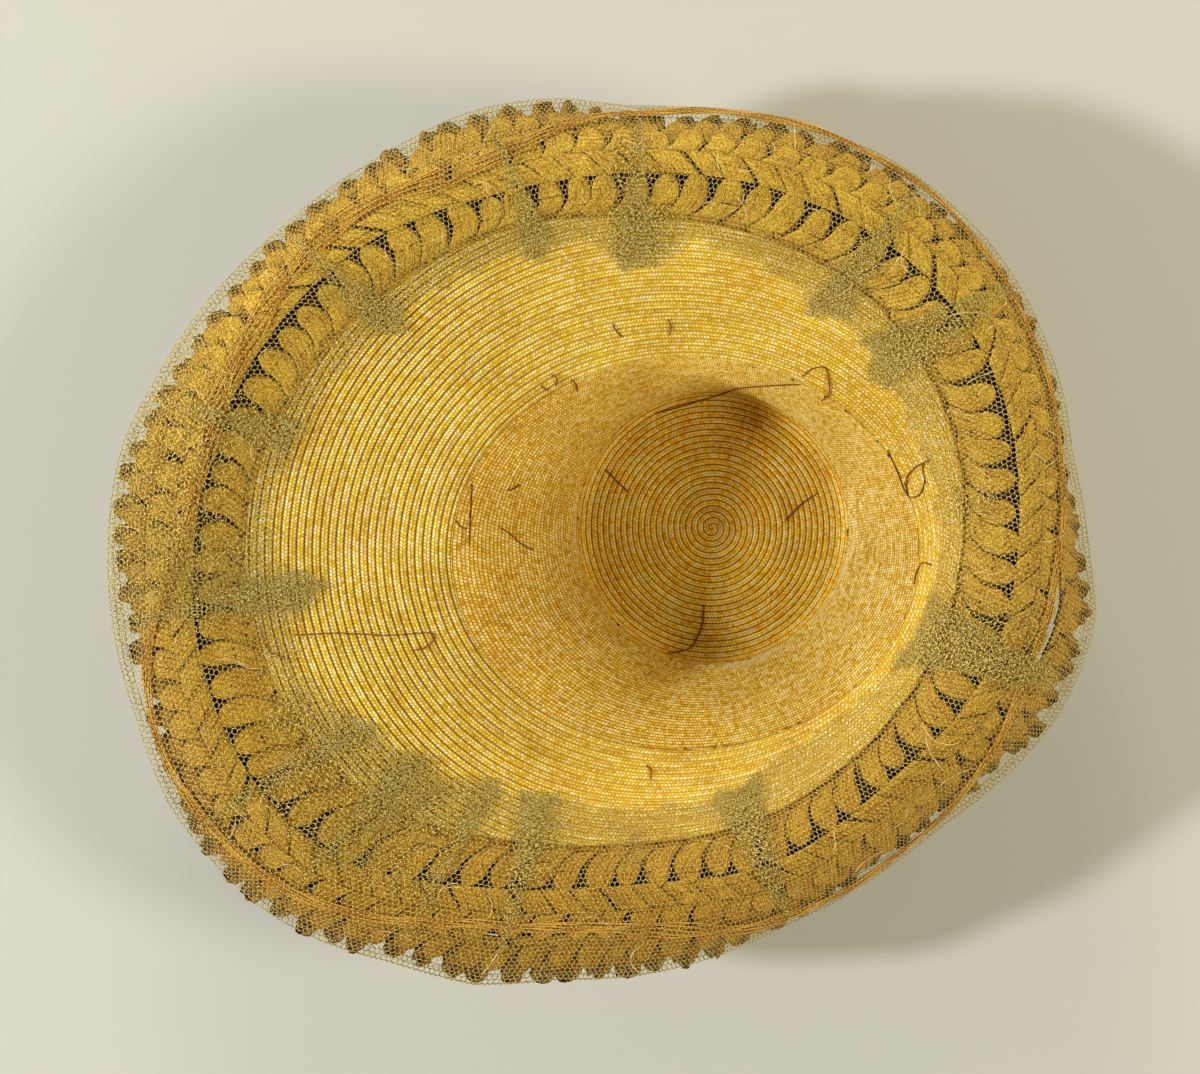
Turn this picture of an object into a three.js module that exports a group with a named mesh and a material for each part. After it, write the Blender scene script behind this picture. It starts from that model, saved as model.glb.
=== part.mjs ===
// Straw hat lying on its crown tip with the head opening upwards. Millimetres, +Z up.
// The origin is the middle of the crown tip's outer face, +X runs across the hat to its narrow
// side, and the wide side of the brim is at -X.

import * as THREE from 'three';

// Driving dimensions
const STRAW_WALL = 2;
const CLEARANCE = 0.3;
const WIRE_CLEARANCE = 0.6; // wider, because the wire crosses the ridge on straight steps
const WIRE_DIAMETER = 3;
const NET_WALL = 0.8;
const NET_RETURN = 9; // how far the net's hem turns back behind the straw edge
const LOBE_DEPTH = 5; // how deep the slits between a plait's lobes are
const PICOT_DEPTH = 3; // how deep the outer plait's edge is notched

// The crown: a flat round tip, a rounded corner, and a wall that flares to the head ring.
const TIP = { x: 0, y: 0, radius: 60, flatRadius: 52, cornerRadius: 57.5, cornerRise: 1.6, footRise: 7 };
const WALL_FLARE = 1.25; // above 1 the wall is steeper at the tip than at the ring

// The head ring: an oval that is higher at the wide side of the brim than at the narrow side.
const RING = { x: -12.7, y: -11.6, halfLength: 99.5, halfWidth: 83.5 };
const RING_HEIGHT = { mean: 62, alongX: -12.5, alongY: 11.5, saddle: 5.5 };

// The brim is measured outwards from its own upright axis.
const BRIM_AXIS = { x: -33, y: -1 };
const WAIST_SAG = 1.5; // the fine brim dips this much between the ring and its edge
const RIDGE = { across: 0.55, drop: 0.3 }; // where the middle plait ends, between lap and edge

// Sections at equal angles round the brim axis, from +X towards +Y. Radii and heights of the fine
// straw's edge, of the lap between inner and middle plait, and of the straw's outer edge. Then the
// wire's place (1 at the lap, 2 at the ridge, 3 at the edge), how far the net reaches in over the
// fine straw, and how far its fold stands out past the straw.
const COLUMNS = ['fineR', 'fineZ', 'lapR', 'lapZ', 'edgeR', 'edgeZ', 'wire', 'netIn', 'netOut'];
const SECTIONS = [
  [134, 85, 158, 95, 183, 73, 2.2, 9, 3],
  [135, 88, 161, 96, 185, 72, 2.6, 10, 3],
  [134, 91, 158, 98, 187, 74, 2.85, 7, 3],
  [130, 94, 152, 101, 183, 77, 2.85, 6, 3],
  [128, 95, 148, 103, 175, 79, 2.8, 7, 7],
  [134, 94, 151, 102, 186, 87, 1.65, 9, 4],
  [141, 92, 165, 98, 194, 80, 1.75, 8, 2],
  [152, 90, 176, 95, 205, 77, 1.25, 8, 6],
  [162, 88, 185, 93, 220, 79, 1.15, 8, 4],
  [163, 87, 192, 91, 224, 77, 2.55, 11, 3],
  [156, 85, 188, 90, 222, 77, 2.15, 22, 3],
  [139, 82, 162, 90, 200, 81, 1.7, 20, 4],
  [130, 79, 148, 91, 184, 80, 1.85, 16, 5],
  [130, 79, 150, 91, 176, 69, 2.7, 18, 3],
  [130, 81, 148, 92, 176, 68, 2.8, 16, 2],
  [132, 83, 156, 94, 187, 76, 1.85, 11, 3],
];

// The net's gathered pleats: angle in degrees, half-width in degrees, and extra reach inwards.
const PLEATS = [
  { angle: 33, width: 6, reach: 9 },
  { angle: 57, width: 5, reach: 3 },
  { angle: 90, width: 7, reach: 12 },
  { angle: 110, width: 5, reach: 2 },
  { angle: 140, width: 5, reach: 3 },
  { angle: 163, width: 5, reach: 4 },
  { angle: 188, width: 8, reach: 14 },
  { angle: 213, width: 6, reach: 4 },
  { angle: 235, width: 6, reach: 3 },
  { angle: 250, width: 6, reach: 4 },
  { angle: 292, width: 6, reach: 4 },
  { angle: 340, width: 9, reach: 9 },
];
const PLEAT_RISE = 1.5;

const SEGMENTS = 76; // round the hat, and also the lobes of each plait
const STEPS_PER_LOBE = 3;
const WIRE_SIDES = 6;

// Stations along a section, from the crown axis to the straw's outer edge.
const STATIONS = [
  'axis', 'tip', 'corner', 'foot', 'wallLow', 'wallHigh', 'ring', 'waist', 'fine', 'lap', 'ridge', 'edge',
];
const AT = Object.fromEntries(STATIONS.map((name, place) => [name, place]));

// A column of the table at any angle, as a smooth closed curve through its sections.
function around(column, angle) {
  const k = COLUMNS.indexOf(column);
  const count = SECTIONS.length;
  const place = (angle / (2 * Math.PI)) * count;
  const start = Math.floor(place);
  const f = place - start;
  const [a, b, c, d] = [-1, 0, 1, 2].map((step) => SECTIONS[(start + step + count) % count][k]);
  const slope = c - a;
  const bend = 2 * a - 5 * b + 4 * c - d;
  const twist = 3 * (b - c) + d - a;
  return b + 0.5 * f * (slope + f * (bend + f * twist));
}

// Distance from the brim axis to an oval, looking along an angle.
function reach(angle, oval, halfLength, halfWidth) {
  const ux = Math.cos(angle) / halfLength;
  const uy = Math.sin(angle) / halfWidth;
  const ox = (oval.x - BRIM_AXIS.x) / halfLength;
  const oy = (oval.y - BRIM_AXIS.y) / halfWidth;
  const square = ux * ux + uy * uy;
  const along = ux * ox + uy * oy;
  return (along + Math.sqrt(along * along - square * (ox * ox + oy * oy - 1))) / square;
}

function ringHeight(angle, radius) {
  const x = BRIM_AXIS.x + radius * Math.cos(angle) - RING.x;
  const y = BRIM_AXIS.y + radius * Math.sin(angle) - RING.y;
  const turn = Math.atan2(y / RING.halfWidth, x / RING.halfLength);
  const { mean, alongX, alongY, saddle } = RING_HEIGHT;
  return mean + alongX * Math.cos(turn) + alongY * Math.sin(turn) + saddle * Math.cos(2 * turn);
}

// One section of the hat: the middle of its wall at each station, as radius and height, and the
// vector at each station that carries an offset of 1 mm from both of the stretches that meet there.
function sectionAt(angle) {
  const middle = STRAW_WALL / 2;
  const circle = (radius) => reach(angle, TIP, radius, radius);
  const column = (name) => around(name, angle);
  const foot = new THREE.Vector2(circle(TIP.radius), middle + TIP.footRise);
  const ringRadius = reach(angle, RING, RING.halfLength, RING.halfWidth);
  const ring = new THREE.Vector2(ringRadius, ringHeight(angle, ringRadius));
  const onWall = (part) => new THREE.Vector2(
    foot.x + (ring.x - foot.x) * part ** WALL_FLARE,
    foot.y + (ring.y - foot.y) * part,
  );
  const fine = new THREE.Vector2(column('fineR'), column('fineZ'));
  const waist = ring.clone().lerp(fine, 0.5);
  waist.y -= WAIST_SAG;
  const lap = new THREE.Vector2(column('lapR'), column('lapZ'));
  const edge = new THREE.Vector2(column('edgeR'), column('edgeZ'));
  const ridge = new THREE.Vector2(
    lap.x + (edge.x - lap.x) * RIDGE.across,
    lap.y + (edge.y - lap.y) * RIDGE.drop,
  );
  const points = [
    new THREE.Vector2(0, middle),
    new THREE.Vector2(circle(TIP.flatRadius), middle),
    new THREE.Vector2(circle(TIP.cornerRadius), middle + TIP.cornerRise),
    foot, onWall(1 / 3), onWall(2 / 3), ring, waist, fine, lap, ridge, edge,
  ];
  const normals = points.slice(1).map((point, k) => {
    const run = point.clone().sub(points[k]).normalize();
    return new THREE.Vector2(-run.y, run.x);
  });
  const mitres = points.map((_, k) => {
    const before = normals[Math.max(k - 1, 0)];
    const after = normals[Math.min(k, normals.length - 1)];
    return before.clone().add(after).divideScalar(1 + before.dot(after));
  });
  return { angle, points, mitres };
}

// A section's own radius and height as a point in space.
function inSpace(section, point) {
  return new THREE.Vector3(
    BRIM_AXIS.x + point.x * Math.cos(section.angle),
    BRIM_AXIS.y + point.x * Math.sin(section.angle),
    point.y,
  );
}

// Radius and height at a place along a section, offset towards the open side of the hat.
function flatPoint(section, place, offset) {
  const k = Math.min(Math.floor(place), STATIONS.length - 2);
  const f = place - k;
  const mitre = section.mitres[k].clone().lerp(section.mitres[k + 1], f);
  return section.points[k].clone().lerp(section.points[k + 1], f).addScaledVector(mitre, offset);
}

function surface(section, place, offset) {
  return inSpace(section, flatPoint(section, place, offset));
}

// The place that lies a distance after a station, or before it.
function after(section, station, distance) {
  const k = AT[station];
  return k + distance / section.points[k].distanceTo(section.points[k + 1]);
}

function before(section, station, distance) {
  const k = AT[station];
  return k - distance / section.points[k].distanceTo(section.points[k - 1]);
}

// The closed outline of a straw wall between two places of a section.
function wall(section, from, to) {
  const stops = [from];
  for (let station = Math.floor(from) + 1; station < to; station += 1) stops.push(station);
  stops.push(to);
  const open = stops.map((place) => surface(section, place, STRAW_WALL / 2));
  const under = stops.map((place) => surface(section, place, -STRAW_WALL / 2));
  return [...open, ...under.reverse()];
}

// Closed solid swept through outlines that follow each other round the hat.
function sweep(outlines) {
  const sides = outlines[0].length;
  const points = outlines.flat();
  const index = [];
  const addTriangle = (...corners) => {
    const [a, b, c] = corners.map((k) => points[k]);
    const degenerate = a.distanceTo(b) < 1e-6 || b.distanceTo(c) < 1e-6 || c.distanceTo(a) < 1e-6;
    if (!degenerate) index.push(...corners);
  };
  for (let i = 0; i < outlines.length; i += 1) {
    const here = i * sides;
    const next = ((i + 1) % outlines.length) * sides;
    for (let j = 0; j < sides; j += 1) {
      const following = (j + 1) % sides;
      addTriangle(here + j, here + following, next + following);
      addTriangle(here + j, next + following, next + j);
    }
  }
  const geometry = new THREE.BufferGeometry();
  geometry.setFromPoints(points);
  geometry.setIndex(index);
  geometry.computeVertexNormals();
  return geometry;
}

function sweepRound(count, outlineAt) {
  const outlines = Array.from({ length: count }, (_, step) => {
    return outlineAt(sectionAt((2 * Math.PI * step) / count), step);
  });
  return sweep(outlines);
}

function crown() {
  return sweepRound(SEGMENTS, (section) => {
    return wall(section, AT.axis, before(section, 'ring', CLEARANCE / 2));
  });
}

function fineBrim() {
  return sweepRound(SEGMENTS, (section) => {
    return wall(section, after(section, 'ring', CLEARANCE / 2), before(section, 'fine', CLEARANCE / 2));
  });
}

// A plait sewn between two stations: its inner edge is plain and its outer edge is cut into lobes.
function plait(inner, outer, slit) {
  return sweepRound(SEGMENTS * STEPS_PER_LOBE, (section, step) => {
    const notch = step % STEPS_PER_LOBE === 0 ? slit : 0;
    const start = after(section, inner, CLEARANCE / 2);
    return wall(section, start, before(section, outer, CLEARANCE / 2 + notch));
  });
}

// The wire wanders over the plaits and lies on their open side.
function brimWire() {
  const seat = STRAW_WALL / 2 + WIRE_CLEARANCE + WIRE_DIAMETER / 2;
  return sweepRound(SEGMENTS, (section) => {
    const centre = flatPoint(section, AT.lap - 1 + around('wire', section.angle), seat);
    return Array.from({ length: WIRE_SIDES }, (_, side) => {
      const turn = (-2 * Math.PI * side) / WIRE_SIDES;
      const rim = new THREE.Vector2(Math.cos(turn), Math.sin(turn)).multiplyScalar(WIRE_DIAMETER / 2);
      return inSpace(section, rim.add(centre));
    });
  });
}

// How strongly the net is gathered at an angle, and how much further in it reaches there.
function gather(angle) {
  let rise = 0;
  let extra = 0;
  for (const pleat of PLEATS) {
    const away = (THREE.MathUtils.radToDeg(angle) - pleat.angle + 540) % 360 - 180;
    const share = Math.exp(-((away / pleat.width) ** 2));
    rise += PLEAT_RISE * share;
    extra += pleat.reach * share;
  }
  return { rise, extra };
}

// The net lies on the fine straw, rises over plaits and wire, folds past the straw's edge and
// turns back behind it.
function net() {
  const half = NET_WALL / 2;
  const onStraw = STRAW_WALL / 2 + CLEARANCE + half;
  const onWire = onStraw + WIRE_DIAMETER + WIRE_CLEARANCE;
  return sweepRound(SEGMENTS, (section) => {
    const { rise, extra } = gather(section.angle);
    const foldOut = around('netOut', section.angle);
    const innerPlace = before(section, 'fine', around('netIn', section.angle) + extra);
    const returnPlace = before(section, 'edge', NET_RETURN);
    const outward = section.points[AT.edge].clone().sub(section.points[AT.ridge]).normalize();
    const fold = (distance, offset) => {
      return inSpace(section, flatPoint(section, AT.edge, offset).addScaledVector(outward, distance));
    };
    const shown = [
      [innerPlace, onStraw + rise / 2],
      [AT.fine, (onStraw + onWire) / 2 + rise],
      [AT.lap, onWire + rise],
      [AT.ridge, onWire + rise / 2],
      [AT.edge, onWire],
    ];
    const layer = (stops, offset) => stops.map(([place, seat]) => surface(section, place, seat + offset));
    const hidden = [[AT.edge, -onStraw], [returnPlace, -onStraw]];
    const outside = [
      ...layer(shown, half), fold(foldOut, onStraw), ...layer(hidden, -half),
    ];
    const inside = [
      ...layer(shown, -half), fold(foldOut - NET_WALL, onStraw - half), ...layer(hidden, half),
    ];
    return [...outside, ...inside.reverse()];
  });
}

function addPiece(hat, name, geometry, colour, roughness) {
  const material = new THREE.MeshStandardMaterial({ color: colour, roughness, metalness: 0 });
  const piece = new THREE.Mesh(geometry, material);
  piece.name = name;
  hat.add(piece);
}

const hat = new THREE.Group();
addPiece(hat, 'crown', crown(), '#c08f36', 0.5);
addPiece(hat, 'brim', fineBrim(), '#d0aa4a', 0.45);
addPiece(hat, 'plait_inner', plait('fine', 'lap', LOBE_DEPTH), '#b98f3a', 0.6);
addPiece(hat, 'plait_middle', plait('lap', 'ridge', LOBE_DEPTH), '#b38936', 0.6);
addPiece(hat, 'plait_outer', plait('ridge', 'edge', PICOT_DEPTH), '#a57d30', 0.65);
addPiece(hat, 'brim_wire', brimWire(), '#b57a33', 0.6);
addPiece(hat, 'net', net(), '#8a8458', 0.8);

export default hat;
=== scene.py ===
# %% [markdown]
# # A straw hat lying on its crown
#
# The hat lies upside down and the camera looks straight into it. It is sewn from long straw braids:
# fine rows for the crown and the brim, then three coarse plaits round the edge. A wound wire stiffens
# the plaits, and a silk net is gathered over them. Each piece gets a cell of its own, and all of them
# follow one set of sections, so that they lie on each other as the real ones do.

import bmesh
import bpy
import numpy as np
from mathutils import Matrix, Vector
from mathutils.bvhtree import BVHTree


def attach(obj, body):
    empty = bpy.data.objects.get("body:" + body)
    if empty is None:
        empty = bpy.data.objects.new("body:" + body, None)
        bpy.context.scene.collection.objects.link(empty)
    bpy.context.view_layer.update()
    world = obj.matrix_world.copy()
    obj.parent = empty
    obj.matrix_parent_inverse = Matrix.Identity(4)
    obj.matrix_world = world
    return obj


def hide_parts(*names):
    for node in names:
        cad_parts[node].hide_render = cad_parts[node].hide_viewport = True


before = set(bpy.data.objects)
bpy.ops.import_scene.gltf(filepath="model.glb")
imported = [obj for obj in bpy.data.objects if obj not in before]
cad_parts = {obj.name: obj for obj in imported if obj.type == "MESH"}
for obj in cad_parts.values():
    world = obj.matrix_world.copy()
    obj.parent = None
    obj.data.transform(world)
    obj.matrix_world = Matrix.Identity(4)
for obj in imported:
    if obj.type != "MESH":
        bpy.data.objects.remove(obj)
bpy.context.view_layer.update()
MM = 0.001  # the tables below are in millimetres, Blender's scene is in metres
TURN = 2 * np.pi

# %% [markdown]
# ## The sections
#
# A hand-sewn brim is never a clean cone. Its width and height change all the way round, so the hat
# is described by sections at equal angles, and a smooth closed curve runs through each column of the
# table. The CAD solids are swept from the same numbers.

# %% Sections round the brim
BRIM_AXIS = np.array([-33.0, -1.0])
COLUMNS = ("fine_r", "fine_z", "lap_r", "lap_z", "edge_r", "edge_z", "wire", "net_in", "net_out")
SECTIONS = np.array([
    [134, 85, 158, 95, 183, 73, 2.2, 9, 3],
    [135, 88, 161, 96, 185, 72, 2.6, 10, 3],
    [134, 91, 158, 98, 187, 74, 2.85, 7, 3],
    [130, 94, 152, 101, 183, 77, 2.85, 6, 3],
    [128, 95, 148, 103, 175, 79, 2.8, 7, 7],
    [134, 94, 151, 102, 186, 87, 1.65, 9, 4],
    [141, 92, 165, 98, 194, 80, 1.75, 8, 2],
    [152, 90, 176, 95, 205, 77, 1.25, 8, 6],
    [162, 88, 185, 93, 220, 79, 1.15, 8, 4],
    [163, 87, 192, 91, 224, 77, 2.55, 11, 3],
    [156, 85, 188, 90, 222, 77, 2.15, 22, 3],
    [139, 82, 162, 90, 200, 81, 1.7, 20, 4],
    [130, 79, 148, 91, 184, 80, 1.85, 16, 5],
    [130, 79, 150, 91, 176, 69, 2.7, 18, 3],
    [130, 81, 148, 92, 176, 68, 2.8, 16, 2],
    [132, 83, 156, 94, 187, 76, 1.85, 11, 3],
])


def smooth_between(a, b, c, d, part):
    """A smooth curve from b to c that heads in from a and out to d."""
    bend = 2 * a - 5 * b + 4 * c - d + part * (3 * (b - c) + d - a)
    return b + 0.5 * part * (c - a + part * bend)


def around(column, angle):
    """A column of the table at any angle."""
    values = SECTIONS[:, COLUMNS.index(column)]
    place = np.asarray(angle) / TURN * len(values)
    start = np.floor(place).astype(int)
    near = [values[(start + step) % len(values)] for step in (-1, 0, 1, 2)]
    return smooth_between(*near, place - start)


print("brim reaches", SECTIONS[:, 4].min(), "to", SECTIONS[:, 4].max(), "mm from its axis")

# %% [markdown]
# ## The head ring
#
# The crown meets the brim at an oval that is as big round as a head. It is not level: the wide side
# of the brim rises higher. A ray from any point inside finds its place on the oval, which serves
# both the brim, measured from the brim's axis, and the crown, measured from the middle of the tip.

# %% Find the head ring along a ray
RING_MIDDLE = np.array([-12.7, -11.6])
RING_HALVES = np.array([99.5, 83.5])
RING_HEIGHT, RING_RISE_X, RING_RISE_Y, RING_SADDLE = 62.0, -12.5, 11.5, 5.5


def on_ring(start, angle):
    """Where a level ray from start meets the head ring."""
    ray = np.stack([np.cos(angle), np.sin(angle)], axis=-1)
    unit = ray / RING_HALVES
    offset = (RING_MIDDLE - start) / RING_HALVES
    square = (unit ** 2).sum(-1)
    along = (unit * offset).sum(-1)
    reach = (along + np.sqrt(along ** 2 - square * ((offset ** 2).sum() - 1))) / square
    flat = start + ray * reach[..., None]
    part = (flat - RING_MIDDLE) / RING_HALVES
    turn = np.arctan2(part[..., 1], part[..., 0])
    height = RING_HEIGHT + RING_RISE_X * np.cos(turn) + RING_RISE_Y * np.sin(turn)
    height += RING_SADDLE * np.cos(2 * turn)
    return np.concatenate([flat, height[..., None]], axis=-1)


print("head ring at +X:", on_ring(BRIM_AXIS, np.zeros(1)).round(1))

# %% [markdown]
# ## A map of the brim
#
# Rows of braid are laid by length, not by angle: each is one braid's width further out than the one
# before. So each section is walked in steps of one millimetre from the head ring outwards, and the
# steps are kept as a map. A piece then asks for a place by its angle and its distance from the ring,
# and how far it stands off the straw towards the viewer.

# %% Walk the sections in millimetres
ANGLES = 720
WALK = np.arange(0.0, 170.0)
WAIST_SAG = 1.5
RIDGE_PART = np.array([0.55, 0.55, 0.3])  # the ridge's share of the way from lap to edge
LEAD_IN = np.array([0.15, 0.15, 0.0])  # how far inside the ring the curve comes from
LEAD_DROP = 10
RUN_STEPS = 24  # points from one line of the brim to the next
TAIL = 80  # how far the walk goes on past the edge
angles = np.arange(ANGLES) * TURN / ANGLES


def section_line(name):
    """A line round the brim, from its two columns of the table."""
    radius = around(name + "_r", angles)
    x = BRIM_AXIS[0] + radius * np.cos(angles)
    y = BRIM_AXIS[1] + radius * np.sin(angles)
    return np.stack([x, y, around(name + "_z", angles)], axis=-1)


ring = on_ring(BRIM_AXIS, angles)
fine, lap, edge = [section_line(name) for name in ("fine", "lap", "edge")]
waist = (ring + fine) / 2 - [0, 0, WAIST_SAG]
ridge = lap + (edge - lap) * RIDGE_PART
inside = ring - (fine - ring) * LEAD_IN - [0, 0, LEAD_DROP]
outside = edge + (edge - ridge)
stations = [inside, ring, waist, fine, lap, ridge, edge, outside]

points, reached = [ring], {}
for first, name in enumerate(("waist", "fine", "lap", "ridge", "edge")):
    for step in range(1, RUN_STEPS + 1):
        points.append(smooth_between(*stations[first:first + 4], step / RUN_STEPS))
    reached[name] = len(points) - 1
tail = (edge - ridge) / np.linalg.norm(edge - ridge, axis=-1, keepdims=True)
walked = np.stack(points + [edge + TAIL * tail], axis=1)
gone = np.linalg.norm(np.diff(walked, axis=1), axis=-1).cumsum(axis=1)
gone = np.concatenate([np.zeros((ANGLES, 1)), gone], axis=1)
marks = {name: gone[:, place] for name, place in reached.items()}
for name in ("fine", "lap", "edge"):
    print(name, "edge lies", marks[name].min().round(), "to", marks[name].max().round(), "mm from the ring")

# %% Keep the walk as a map
brim_map = np.stack([
    np.stack([np.interp(WALK, gone[i], walked[i, :, axis]) for axis in range(3)], axis=-1)
    for i in range(ANGLES)
])
outwards = np.gradient(brim_map, axis=1)
onwards = np.roll(brim_map, -1, axis=0) - np.roll(brim_map, 1, axis=0)
brim_normals = np.cross(outwards, onwards)
brim_normals /= np.linalg.norm(brim_normals, axis=-1, keepdims=True)


def mark(name, angle):
    """How far from the head ring a line of the brim lies, such as the fine straw's edge."""
    return np.interp(np.mod(angle, TURN), angles, marks[name], period=TURN)


def on_brim(angle, reach, lift=0.0):
    """The brim's place at an angle and a distance from the head ring, lifted off the straw."""
    column = np.mod(angle, TURN) / TURN * ANGLES
    row = np.clip(reach, 0, len(WALK) - 1.001)
    i, j = np.floor(column).astype(int), np.floor(row).astype(int)
    f, g = (column - i)[..., None], (row - j)[..., None]
    i, after = i % ANGLES, (i + 1) % ANGLES
    place, normal = [
        (1 - f) * ((1 - g) * table[i, j] + g * table[i, j + 1])
        + f * ((1 - g) * table[after, j] + g * table[after, j + 1])
        for table in (brim_map, brim_normals)
    ]
    return place + normal * np.asarray(lift)[..., None]


print("brim map of", len(brim_map), "sections with", len(WALK), "places each")

# %% [markdown]
# ## The uneven hem
#
# A soft edge doesn't end on a clean oval. The last plait and the net bulge in some places and have
# shrunk back in others, so a table says by angle how far each ends past the sections' edge. A wobble
# made by chance would be quicker, but it would put the bulges in the wrong places.

# %% Set where straw and net end
HEM = np.array([
    (0, 7, 8), (10, 0, 2), (30, 6, 7), (50, 0, 1), (70, -2, -3), (90, -1, -3), (100, 5, 1), (110, 3, -1),
    (120, 1, -3), (150, -2, -1), (170, 3, 2), (180, 2, -1), (190, -6, -2), (200, -5, -1), (210, 1, 2),
    (220, 5, 0), (240, 0, -2), (250, 4, 1), (260, 2, -4), (280, 6, 0), (300, 0, 0), (320, -1, 5),
    (330, 4, 5), (340, 6, 7), (350, 14, 15), (360, 7, 8),
])  # degrees, and how far straw and net end past the even edge there


def by_degrees(table, angle):
    """A value at any angle, from a table of degrees and values."""
    return np.interp(np.degrees(np.mod(angle, TURN)), *np.transpose(table))


marks["straw_end"] = marks["edge"] + by_degrees(HEM[:, [0, 1]], angles)
marks["net_fold"] = marks["edge"] + around("net_out", angles) + by_degrees(HEM[:, [0, 2]], angles)
print("net ends", marks["net_fold"].min().round(), "to", marks["net_fold"].max().round(), "mm from the ring")

# %% [markdown]
# ## Bending a grid
#
# A braid row, a plait strand and a wire are all long strips. Each starts as the flat grid that
# create_grid makes, and one function of the grid's two coordinates bends it into place. The same
# coordinates become the UV map, so that a pattern follows the straw. Where the ends of a strip meet,
# merging doubles closes it.

# %% Helper: bent grids
MERGE = 0.02 * MM


def read(items, name, width):
    """Values of all vertices or corners, so many to a row."""
    values = np.empty(len(items) * width, dtype=np.int32 if name == "vertex_index" else np.float32)
    items.foreach_get(name, values)
    return values.reshape(-1, width)


def bent_grids(name, along, across, place, paint, count=1, sunk_shade=None):
    """count strips bent by place(u, v, strip). paint(u, v, strip, face_v) gives their UV map, and the
    last function, if given, the painted shade of each point by how deep it lies in the weave, 0 on top to 1
    dark."""
    bm = bmesh.new()
    for strip in range(count):
        made = bmesh.ops.create_grid(bm, x_segments=along, y_segments=across, size=0.5)
        bmesh.ops.translate(bm, verts=made["verts"], vec=(0.5, 0.5, strip))
    mesh = bpy.data.meshes.new(name)
    bm.to_mesh(mesh)
    u, v, strip = read(mesh.vertices, "co", 3).astype(float).T
    corner = read(mesh.loops, "vertex_index", 1)[:, 0]
    face_v = v[corner].reshape(-1, 4).mean(axis=1).repeat(4)
    pattern = np.stack(paint(u[corner], v[corner], strip[corner], face_v), axis=-1)
    mesh.vertices.foreach_set("co", (place(u, v, strip) * MM).astype(np.float32).ravel())
    mesh.uv_layers.new(name="straw").data.foreach_set("uv", pattern.astype(np.float32).ravel())
    if sunk_shade is not None:
        depth = mesh.attributes.new("sunk_shade", "FLOAT", "POINT")
        depth.data.foreach_set("value", sunk_shade(u, v, strip).astype(np.float32))
    bm.clear()
    bm.from_mesh(mesh)
    bmesh.ops.remove_doubles(bm, verts=bm.verts, dist=MERGE)
    bmesh.ops.dissolve_degenerate(bm, edges=bm.edges, dist=MERGE)
    bm.to_mesh(mesh)
    bm.free()
    mesh.shade_smooth()
    piece = bpy.data.objects.new(name, mesh)
    bpy.context.collection.objects.link(piece)
    return piece


def thicken(piece, thickness):
    """Give a strip its thickness below the side that faces the viewer."""
    solid = piece.modifiers.new("straw thickness", "SOLIDIFY")
    solid.thickness = thickness * MM
    solid.offset = -1
    return piece


def dress(piece, finish, slot, *nodes):
    """Give a piece its finish, attach it to the root, and hide the solids that it stands for."""
    piece.data.materials.append(finish)
    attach(piece, "root")
    if nodes:
        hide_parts(*nodes)
    triangles = sum(len(face.vertices) - 2 for face in piece.data.polygons)
    print(piece.name, "made of", triangles, "triangles before its thickness")


# %% [markdown]
# ## Nodes for the finishes
#
# Straw, silk and thread all need the same few things: noise drawn out along the straw, a ramp of
# shades, a tint that fades out, a little relief. They could be joined by hand in the node editor, but
# every finish would repeat them, so each is a helper that adds its nodes to a tree.

# %% Helper: shader nodes


def add_node(tree, kind, sockets, **settings):
    """A shader node with its sockets linked or set, and its settings."""
    node = tree.nodes.new("ShaderNode" + kind)
    for name, value in settings.items():
        setattr(node, name, value)
    for key, value in sockets.items():
        if isinstance(value, bpy.types.NodeSocket):
            tree.links.new(value, node.inputs[key])
        else:
            node.inputs[key].default_value = value
    return node


def add_maths(tree, operation, *values):
    return add_node(tree, "Math", dict(enumerate(values)), operation=operation).outputs[0]


def add_range(tree, value, low, high, start=0.0, stop=1.0):
    """Stretch a value so that low becomes start and high becomes stop, and hold it there."""
    sockets = {"Value": value, "From Min": low, "From Max": high, "To Min": start, "To Max": stop}
    return add_node(tree, "MapRange", sockets).outputs[0]


def add_noise(tree, where, detail, scale=1.0, drawn=None):
    """Cloudy noise. drawn scales it differently along and across."""
    if drawn:
        where = add_node(tree, "Mapping", {"Vector": where, "Scale": (*drawn, 1.0)}).outputs[0]
    return add_node(tree, "TexNoise", {"Vector": where, "Scale": scale, "Detail": detail}).outputs["Fac"]


def add_ramp(tree, value, shades):
    """Colours over a value from 0 to 1, as pairs of place and colour."""
    node = add_node(tree, "ValToRGB", {"Fac": value})
    stops = node.color_ramp.elements
    while len(stops) < len(shades):
        stops.new(1.0)
    for stop, (place, colour) in zip(stops, shades):
        stop.position = place
        stop.color = (*colour, 1.0)
    return node.outputs["Color"]


def add_mix(tree, share, first, second, blend="MIX"):
    """Mix two colours, each of them a socket or three numbers."""
    node = tree.nodes.new("ShaderNodeMix")
    node.data_type = "RGBA"
    node.blend_type = blend
    colours = [s for s in node.inputs if s.type == "RGBA"]
    for socket, value in ((node.inputs[0], share), (colours[0], first), (colours[1], second)):
        if isinstance(value, bpy.types.NodeSocket):
            tree.links.new(value, socket)
        else:
            socket.default_value = value if socket.type != "RGBA" else (*value, 1.0)
    return [s for s in node.outputs if s.type == "RGBA"][0]


def add_tint(tree, colour, value, low, high, tone):
    """Tint a colour where a value is low, fading out to where it is high."""
    tint = add_ramp(tree, value, [(low, tone), (high, (1, 1, 1))])
    return add_mix(tree, 1.0, colour, tint, "MULTIPLY")


# %% Helper: start and end a finish
SHINE = 0.15  # straw and silk mirror little white light, so their gold stays deep


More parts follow.
